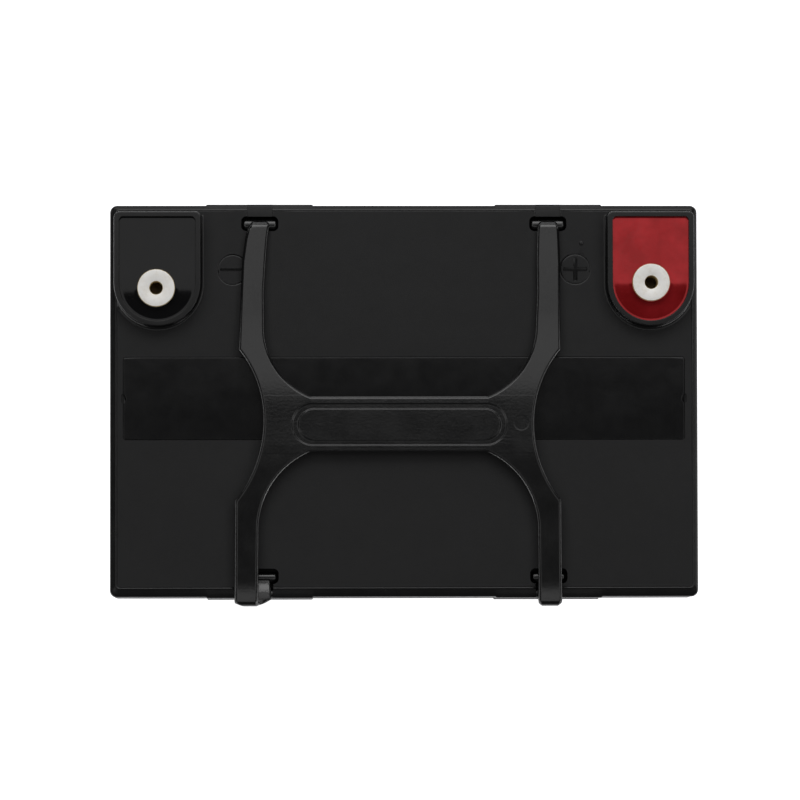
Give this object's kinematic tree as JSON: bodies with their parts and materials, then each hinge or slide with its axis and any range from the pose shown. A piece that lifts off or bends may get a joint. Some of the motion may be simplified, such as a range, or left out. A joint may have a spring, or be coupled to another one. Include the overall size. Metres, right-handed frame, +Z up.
{
  "type": "sealed lead-acid battery",
  "caption": "Sealed lead-acid battery in a black case, with threaded insert terminals in potted corner wells, a vent cover strip and a flexible strap handle.",
  "frame": {"origin": "centre of the container's flat base", "axes": "+X towards the positive terminal's end, +Y towards the edge with the terminals, +Z up"},
  "size_m": [0.195, 0.1323, 0.1613],
  "materials": {
    "case_plastic": "fine matte moulding texture",
    "strip_plastic": "smooth gloss",
    "handle_plastic": "satin flexible polypropylene",
    "rubber": "smooth",
    "tinned_brass": "tin plate, lightly brushed",
    "black_epoxy": "poured gloss",
    "red_epoxy": "poured gloss",
    "lead": "dull cast",
    "positive_paste": "dry oxide paste",
    "negative_paste": "spongy lead paste",
    "glass_mat": "felted glass fibre"
  },
  "bodies": {
    "case": {"container": "case_plastic", "lid": "case_plastic", "vent_cover_strip": "strip_plastic", "negative_plates_1": "negative_paste", "positive_plates_1": "positive_paste", "negative_plates_2": "negative_paste", "positive_plates_2": "positive_paste", "negative_plates_3": "negative_paste", "positive_plates_3": "positive_paste", "negative_plates_4": "negative_paste", "positive_plates_4": "positive_paste", "negative_plates_5": "negative_paste", "positive_plates_5": "positive_paste", "negative_plates_6": "negative_paste", "positive_plates_6": "positive_paste", "separator_mat_1": "glass_mat", "separator_mat_2": "glass_mat", "separator_mat_3": "glass_mat", "separator_mat_4": "glass_mat", "separator_mat_5": "glass_mat", "separator_mat_6": "glass_mat", "cell_link_1": "lead", "cell_link_2": "lead", "cell_link_3": "lead", "cell_link_4": "lead", "cell_link_5": "lead", "negative_terminal": "tinned_brass", "negative_potting": "black_epoxy", "negative_post_seal": "rubber", "negative_lead_post": "lead", "positive_terminal": "tinned_brass", "positive_potting": "red_epoxy", "positive_post_seal": "rubber", "positive_lead_post": "lead"},
    "rear_straps": {"rear_strap_left": "handle_plastic", "rear_strap_right": "handle_plastic"},
    "grip": {"handle_grip": "handle_plastic"},
    "front_straps": {"front_strap_left": "handle_plastic", "front_strap_right": "handle_plastic"},
    "slack_1": {"slack_loop_1_left": "handle_plastic", "slack_loop_1_right": "handle_plastic"},
    "slack_2": {"slack_loop_2_left": "handle_plastic", "slack_loop_2_right": "handle_plastic"},
    "slack_3": {"slack_loop_3_left": "handle_plastic", "slack_loop_3_right": "handle_plastic"},
    "front_bars": {"front_tbar_left": "handle_plastic", "front_tbar_right": "handle_plastic"},
    "valve_1": {"relief_valve_cap_1": "rubber"},
    "valve_2": {"relief_valve_cap_2": "rubber"},
    "valve_3": {"relief_valve_cap_3": "rubber"},
    "valve_4": {"relief_valve_cap_4": "rubber"},
    "valve_5": {"relief_valve_cap_5": "rubber"},
    "valve_6": {"relief_valve_cap_6": "rubber"}
  },
  "joints": [
    {"name": "handle_lift", "type": "hinge", "parent": "case", "child": "rear_straps", "pos_m": [0, 0.0588, 0.1512], "axis": [-1, 0, 0], "range_deg": [0, 20]},
    {"name": "grip_level", "type": "hinge", "parent": "rear_straps", "child": "grip", "pos_m": [0, 0.0015, 0.1584], "axis": [-1, 0, 0], "range_deg": [-20, 0]},
    {"name": "front_strap_fold", "type": "hinge", "parent": "grip", "child": "front_straps", "pos_m": [0, -0.0173, 0.1584], "axis": [-1, 0, 0], "range_deg": [-17.56, 0]},
    {"name": "slack_fold_1", "type": "hinge", "parent": "front_straps", "child": "slack_1", "pos_m": [0, -0.0642, 0.1582], "axis": [-1, 0, 0], "range_deg": [0, 2.2]},
    {"name": "slack_fold_2", "type": "hinge", "parent": "slack_1", "child": "slack_2", "pos_m": [0, -0.06584, 0.15742], "axis": [-1, 0, 0], "range_deg": [0, 26]},
    {"name": "slack_fold_3", "type": "hinge", "parent": "slack_2", "child": "slack_3", "pos_m": [0, -0.06625, 0.15565], "axis": [-1, 0, 0], "range_deg": [0, 33]},
    {"name": "front_bar_turn", "type": "hinge", "parent": "slack_3", "child": "front_bars", "pos_m": [0, -0.06513, 0.15422], "axis": [-1, 0, 0], "range_deg": [0, 19.4]},
    {"name": "valve_lift_1", "type": "slide", "parent": "case", "child": "valve_1", "axis": [0, 0, 1], "range_m": [0, 0.0004], "stiffness_N_per_m": 60, "springref_m": -0.001},
    {"name": "valve_lift_2", "type": "slide", "parent": "case", "child": "valve_2", "axis": [0, 0, 1], "range_m": [0, 0.0004], "stiffness_N_per_m": 60, "springref_m": -0.001},
    {"name": "valve_lift_3", "type": "slide", "parent": "case", "child": "valve_3", "axis": [0, 0, 1], "range_m": [0, 0.0004], "stiffness_N_per_m": 60, "springref_m": -0.001},
    {"name": "valve_lift_4", "type": "slide", "parent": "case", "child": "valve_4", "axis": [0, 0, 1], "range_m": [0, 0.0004], "stiffness_N_per_m": 60, "springref_m": -0.001},
    {"name": "valve_lift_5", "type": "slide", "parent": "case", "child": "valve_5", "axis": [0, 0, 1], "range_m": [0, 0.0004], "stiffness_N_per_m": 60, "springref_m": -0.001},
    {"name": "valve_lift_6", "type": "slide", "parent": "case", "child": "valve_6", "axis": [0, 0, 1], "range_m": [0, 0.0004], "stiffness_N_per_m": 60, "springref_m": -0.001}
  ],
  "couplings": [
    {"joint": "grip_level", "follows": "handle_lift", "ratio": -1},
    {"joint": "front_strap_fold", "follows": "handle_lift", "ratio": -0.878},
    {"joint": "slack_fold_1", "follows": "handle_lift", "ratio": 0.11},
    {"joint": "slack_fold_2", "follows": "handle_lift", "ratio": 1.3},
    {"joint": "slack_fold_3", "follows": "handle_lift", "ratio": 1.65},
    {"joint": "front_bar_turn", "follows": "handle_lift", "ratio": 0.97}
  ]
}
